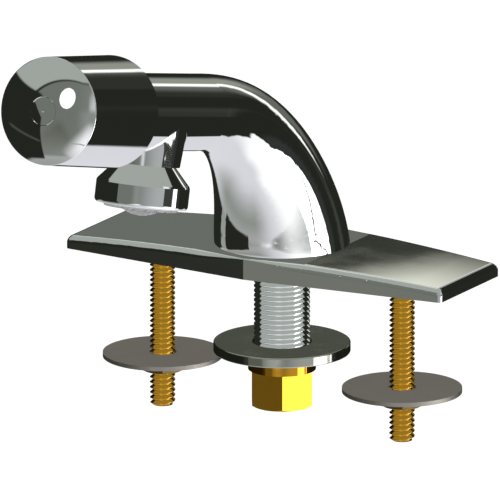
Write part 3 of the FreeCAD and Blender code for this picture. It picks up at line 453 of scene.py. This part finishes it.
def haze_group():
    """Faint uneven gloss, as on a wiped surface, with a matching height."""
    group, given, out = new_group(
        "surface_haze",
        [("Vector", "NodeSocketVector", None), ("Scale", "NodeSocketFloat", 40.0),
         ("Polished", "NodeSocketFloat", 0.05), ("Hazy", "NodeSocketFloat", 0.12)],
        [("Roughness", "NodeSocketFloat"), ("Height", "NodeSocketFloat")],
    )
    noise = group.nodes.new("ShaderNodeTexNoise")
    noise.inputs["Detail"].default_value = 4
    group.links.new(given["Vector"], noise.inputs["Vector"])
    group.links.new(given["Scale"], noise.inputs["Scale"])
    ramp = group.nodes.new("ShaderNodeMapRange")
    ramp.interpolation_type = "SMOOTHSTEP"
    ramp.inputs["From Min"].default_value = 0.45
    ramp.inputs["From Max"].default_value = 0.75
    group.links.new(noise.outputs["Fac"], ramp.inputs["Value"])
    group.links.new(given["Polished"], ramp.inputs["To Min"])
    group.links.new(given["Hazy"], ramp.inputs["To Max"])
    group.links.new(ramp.outputs["Result"], out["Roughness"])
    group.links.new(noise.outputs["Fac"], out["Height"])
    return group


def tone_group():
    """One colour that drifts a little towards a second one, as tarnish or uneven plating does."""
    group, given, out = new_group(
        "uneven_tone",
        [("Vector", "NodeSocketVector", None), ("Scale", "NodeSocketFloat", 60.0),
         ("Colour", "NodeSocketColor", (0.8, 0.8, 0.8, 1)), ("Stain", "NodeSocketColor", (0.5, 0.5, 0.5, 1)),
         ("Amount", "NodeSocketFloat", 0.3)],
        [("Colour", "NodeSocketColor")],
    )
    noise = group.nodes.new("ShaderNodeTexNoise")
    noise.inputs["Detail"].default_value = 5
    noise.inputs["Roughness"].default_value = 0.6
    group.links.new(given["Vector"], noise.inputs["Vector"])
    group.links.new(given["Scale"], noise.inputs["Scale"])
    share = math_node(group, "MULTIPLY", noise.outputs["Fac"], given["Amount"])
    mix = group.nodes.new("ShaderNodeMix")
    mix.data_type = "RGBA"
    group.links.new(share, mix.inputs["Factor"])
    group.links.new(given["Colour"], mix.inputs["A"])
    group.links.new(given["Stain"], mix.inputs["B"])
    group.links.new(mix.outputs["Result"], out["Colour"])
    return group


def turning_group():
    """Fine tool marks in rings around an upright axis through a centre."""
    group, given, out = new_group(
        "turning_marks",
        [("Vector", "NodeSocketVector", None), ("Centre", "NodeSocketVector", None),
         ("Rings", "NodeSocketFloat", 900.0)],
        [("Height", "NodeSocketFloat")],
    )
    shifted = group.nodes.new("ShaderNodeVectorMath")
    shifted.operation = "SUBTRACT"
    group.links.new(given["Vector"], shifted.inputs[0])
    group.links.new(given["Centre"], shifted.inputs[1])
    parts = group.nodes.new("ShaderNodeSeparateXYZ")
    group.links.new(shifted.outputs[0], parts.inputs[0])
    square = math_node(group, "MULTIPLY", parts.outputs["X"], parts.outputs["X"])
    both = math_node(group, "MULTIPLY_ADD", parts.outputs["Y"], parts.outputs["Y"], square)
    radius = math_node(group, "SQRT", both)
    spread = math_node(group, "ADD", radius, parts.outputs["Z"])
    line = group.nodes.new("ShaderNodeTexNoise")
    line.noise_dimensions = "1D"
    line.inputs["Detail"].default_value = 3
    group.links.new(spread, line.inputs["W"])
    group.links.new(given["Rings"], line.inputs["Scale"])
    group.links.new(line.outputs["Fac"], out["Height"])
    return group


HAZE = haze_group()
TONE = tone_group()
TURNING = turning_group()


def new_material(name, colour, metallic, roughness):
    """A material with its Principled shader and the object's coordinates."""
    material = bpy.data.materials.new(name)
    material.use_nodes = True
    tree = material.node_tree
    shader = tree.nodes["Principled BSDF"]
    shader.inputs["Base Color"].default_value = (*colour, 1)
    shader.inputs["Metallic"].default_value = metallic
    shader.inputs["Roughness"].default_value = roughness
    place = tree.nodes.new("ShaderNodeTexCoord").outputs["Object"]
    return material, tree, shader, place


def bump(tree, shader, height, depth):
    """Let a height that varies over the surface turn the shader's normal."""
    node = tree.nodes.new("ShaderNodeBump")
    node.inputs["Strength"].default_value = 1
    node.inputs["Distance"].default_value = depth
    tree.links.new(height, node.inputs["Height"])
    tree.links.new(node.outputs["Normal"], shader.inputs["Normal"])


def chrome():
    """Polished chrome plate: a near mirror with faint wiping marks."""
    material, tree, shader, place = new_material("chrome_plate", (0.90, 0.91, 0.91), 1, 0.03)
    haze = placed_group(tree, HAZE, vector=place, scale=55, polished=0.02, hazy=0.035)
    tree.links.new(haze.outputs["Roughness"], shader.inputs["Roughness"])
    return material


def turned_metal(name, colour, stain, amount, polished, hazy, centre, ring_depth):
    """A turned or pressed metal: uneven tone, hazy gloss and fine rings around an upright axis through the
    given centre.
    """
    material, tree, shader, place = new_material(name, colour, 1, polished)
    shader.inputs["Specular Tint"].default_value = (*(0.25 + 0.75 * part for part in colour), 1)
    tone = placed_group(
        tree, TONE, vector=place, scale=90, colour=(*colour, 1), stain=(*stain, 1), amount=amount
    )
    tree.links.new(tone.outputs["Colour"], shader.inputs["Base Color"])
    haze = placed_group(tree, HAZE, vector=place, scale=120, polished=polished, hazy=hazy)
    tree.links.new(haze.outputs["Roughness"], shader.inputs["Roughness"])
    rings = placed_group(tree, TURNING, vector=place, centre=centre, rings=1500)
    bump(tree, shader, rings.outputs["Height"], ring_depth)
    return material


def moulded(name, colour, stain, roughness, grain_depth):
    """A moulded plastic or rubber: faint mottling and a fine skin."""
    material, tree, shader, place = new_material(name, colour, 0, roughness)
    tone = placed_group(
        tree, TONE, vector=place, scale=120, colour=(*colour, 1), stain=(*stain, 1), amount=0.35
    )
    tree.links.new(tone.outputs["Colour"], shader.inputs["Base Color"])
    haze = placed_group(tree, HAZE, vector=place, scale=300, polished=roughness, hazy=roughness + 0.12)
    tree.links.new(haze.outputs["Roughness"], shader.inputs["Roughness"])
    bump(tree, shader, haze.outputs["Height"], grain_depth)
    return material


def dress(material, *names):
    """Give CAD nodes their material."""
    for name in names:
        mesh = NODES[name].data
        mesh.materials.clear()
        mesh.materials.append(material)


def centre_of(node):
    """The middle of a node's box at rest."""
    low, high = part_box(node)
    return (low + high) / 2


def dress_nodes():
    """Give every CAD node its finish."""
    for node in NODES.values():
        # The pieces mirror the studio and not each other
        node.visible_glossy = False
    dress(chrome(), *CHROME_NODES)
    middle = (0, 0, 0)
    brass = turned_metal(
        "cartridge_brass", colour=(0.62, 0.45, 0.20), stain=(0.40, 0.27, 0.12), amount=0.4,
        polished=0.2, hazy=0.35, centre=middle, ring_depth=6e-6,
    )
    dress(brass, "bonnet", "valve_seat", "cartridge_body", "stem")
    bright_brass = turned_metal(
        "bright_brass", colour=(0.84, 0.42, 0.035), stain=(0.74, 0.34, 0.025), amount=0.15,
        polished=0.05, hazy=0.10, centre=middle, ring_depth=1e-6,
    )
    dress(bright_brass, "coupling_nut")
    for side in ("left", "right"):
        centre = tuple(centre_of(f"stud_washer_{side}"))
        zinc = turned_metal(
            f"washer_zinc_{side}", colour=(0.47, 0.435, 0.40), stain=(0.40, 0.37, 0.34), amount=0.3,
            polished=0.50, hazy=0.60, centre=centre, ring_depth=3e-6,
        )
        dress(zinc, f"stud_washer_{side}")
        stud_brass = turned_metal(
            f"stud_brass_{side}", colour=(0.80, 0.42, 0.045), stain=(0.66, 0.32, 0.03), amount=0.2,
            polished=0.14, hazy=0.22, centre=centre, ring_depth=1e-6,
        )
        dress(stud_brass, f"stud_{side}")
        nut_brass = turned_metal(
            f"nut_brass_{side}", colour=(0.26, 0.18, 0.06), stain=(0.20, 0.13, 0.04), amount=0.3,
            polished=0.5, hazy=0.6, centre=centre, ring_depth=2e-6,
        )
        dress(nut_brass, f"stud_nut_{side}")
    dark_steel = turned_metal(
        "dark_steel", colour=(0.55, 0.55, 0.50), stain=(0.47, 0.47, 0.43), amount=0.2,
        polished=0.06, hazy=0.11, centre=middle, ring_depth=5e-7,
    )
    dress(dark_steel, "shank_washer")
    pale_plate = turned_metal(
        "pale_plate", colour=(0.93, 0.95, 0.95), stain=(0.80, 0.82, 0.82), amount=0.15,
        polished=0.06, hazy=0.12, centre=middle, ring_depth=1e-6,
    )
    dress(pale_plate, "shank")
    stainless = turned_metal(
        "stainless", colour=(0.62, 0.62, 0.61), stain=(0.48, 0.48, 0.47), amount=0.3,
        polished=0.2, hazy=0.32, centre=middle, ring_depth=4e-6,
    )
    dress(
        stainless,
        "outlet_screen", "return_spring", "inlet_screen", "cap_screw", "seat_screw", "spring_follower",
    )
    rubber = moulded(
        "black_rubber", colour=(0.022, 0.022, 0.022), stain=(0.05, 0.05, 0.048),
        roughness=0.55, grain_depth=1.2e-5,
    )
    dress(
        rubber,
        "base_seal", "outlet_gasket", "cartridge_seal_rear", "cartridge_seal_front", "stem_seal",
        "inlet_washer", "seat_washer", "piston_cup",
    )
    white_plastic = moulded(
        "white_plastic", colour=(0.88, 0.89, 0.89), stain=(0.78, 0.79, 0.80),
        roughness=0.28, grain_depth=4e-6,
    )
    dress(white_plastic, "outlet_insert")
    grey_plastic = moulded(
        "grey_plastic", colour=(0.36, 0.36, 0.37), stain=(0.28, 0.28, 0.29),
        roughness=0.4, grain_depth=6e-6,
    )
    dress(grey_plastic, "flow_regulator", "piston")


def helical_skin(low, high, crest, depth, pitch, chamfer):
    """An open threaded tube around the Z axis, cut flat at both ends, as a bmesh."""
    form = bmesh.new()
    first_turn = math.floor(low / pitch) - 1
    last_turn = math.ceil(high / pitch) + 1
    rows = []
    for step in range((last_turn - first_turn) * THREAD_STEPS + 1):
        angle = 2 * math.pi * step / THREAD_STEPS
        start = (first_turn + step / THREAD_STEPS) * pitch
        row = []
        for share, rise in THREAD_PROFILE:
            height = start + share * pitch
            end = max(0.0, min(height - low, high - height))
            radius = min(crest - depth * (1 - rise), crest - chamfer + end)
            row.append(form.verts.new((radius * math.cos(angle), radius * math.sin(angle), height)))
        rows.append(row)
    for step, (row, after) in enumerate(zip(rows, rows[1:])):
        for k in range(len(row) - 1):
            form.faces.new((row[k], after[k], after[k + 1], row[k + 1]))
        turned_row = step + THREAD_STEPS
        if turned_row + 1 < len(rows):
            form.faces.new((row[-1], after[-1], rows[turned_row + 1][0], rows[turned_row][0]))
    for height, normal in ((low, (0, 0, 1)), (high, (0, 0, -1))):
        geometry = form.verts[:] + form.edges[:] + form.faces[:]
        bmesh.ops.bisect_plane(
            form, geom=geometry, dist=1e-9, plane_co=(0, 0, height), plane_no=normal, clear_inner=True
        )
    return form


def finish_piece(form, name, node, x, y):
    """Turn a bmesh into the piece that stands for a CAD node."""
    bmesh.ops.translate(form, verts=form.verts, vec=(x, y, 0))
    bmesh.ops.recalc_face_normals(form, faces=form.faces)
    mesh = bpy.data.meshes.new(name)
    form.to_mesh(mesh)
    form.free()
    piece = bpy.data.objects.new(name, mesh)
    bpy.context.scene.collection.objects.link(piece)
    mesh.materials.append(NODES[node].data.materials[0])
    piece.visible_glossy = False
    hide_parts(node)
    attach(piece, BODY_OF[node])
    return piece


def threaded_stud(node):
    """A stud with its real thread, solid and flat at both ends."""
    low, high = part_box(node)
    crest = (high.x - low.x) / 2
    middle = (low + high) / 2
    form = helical_skin(low.z, high.z, crest, STUD_THREAD_DEPTH, STUD_PITCH, STUD_CHAMFER)
    bmesh.ops.holes_fill(form, edges=[edge for edge in form.edges if edge.is_boundary])
    slot_piece = finish_piece(form, f"threaded_{node}", node, middle.x, middle.y)
    smooth(slot_piece, SMOOTH_DEGREES)


def threaded_shank(node):
    """The supply shank with its real thread and its plain bore."""
    low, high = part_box(node)
    crest = (high.x - low.x) / 2
    form = helical_skin(low.z, high.z, crest, SHANK_THREAD_DEPTH, SHANK_PITCH, SHANK_CHAMFER)
    rings = []
    for height in (low.z, high.z):
        ring = [
            form.verts.new((
                SHANK_BORE_RADIUS * math.cos(2 * math.pi * k / THREAD_STEPS),
                SHANK_BORE_RADIUS * math.sin(2 * math.pi * k / THREAD_STEPS),
                height,
            ))
            for k in range(THREAD_STEPS)
        ]
        rings.append(ring)
    for k in range(THREAD_STEPS):
        after = (k + 1) % THREAD_STEPS
        form.faces.new((rings[0][k], rings[0][after], rings[1][after], rings[1][k]))
    for height in (low.z, high.z):
        loop = [
            edge for edge in form.edges
            if edge.is_boundary and all(abs(vert.co.z - height) < SAME_HEIGHT for vert in edge.verts)
        ]
        bmesh.ops.triangle_fill(form, use_beauty=True, use_dissolve=False, edges=loop)
    piece = finish_piece(form, "threaded_shank", node, 0, 0)
    smooth(piece, SMOOTH_DEGREES)


def shortening_spring():
    """The return spring as its own copy of the CAD node's mesh, attached to that node's body in its place."""
    node = NODES["return_spring"]
    spring = bpy.data.objects.new("shortening_spring", node.data.copy())
    bpy.context.scene.collection.objects.link(spring)
    spring.visible_glossy = False
    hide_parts("return_spring")
    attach(spring, BODY_OF["return_spring"])
    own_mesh(spring)


def smooth(piece, degrees):
    """Shade a piece smooth, apart from edges sharper than the given angle."""
    mesh = piece.data
    mesh.polygons.foreach_set("use_smooth", [True] * len(mesh.polygons))
    mesh.set_sharp_from_angle(angle=math.radians(degrees))


make_camera()
make_studio()
make_lamps()
make_floor()
dress_nodes()
threaded_stud("stud_left")
threaded_stud("stud_right")
threaded_shank("shank")
shortening_spring()

bpy.context.scene.view_settings.view_transform = "Standard"
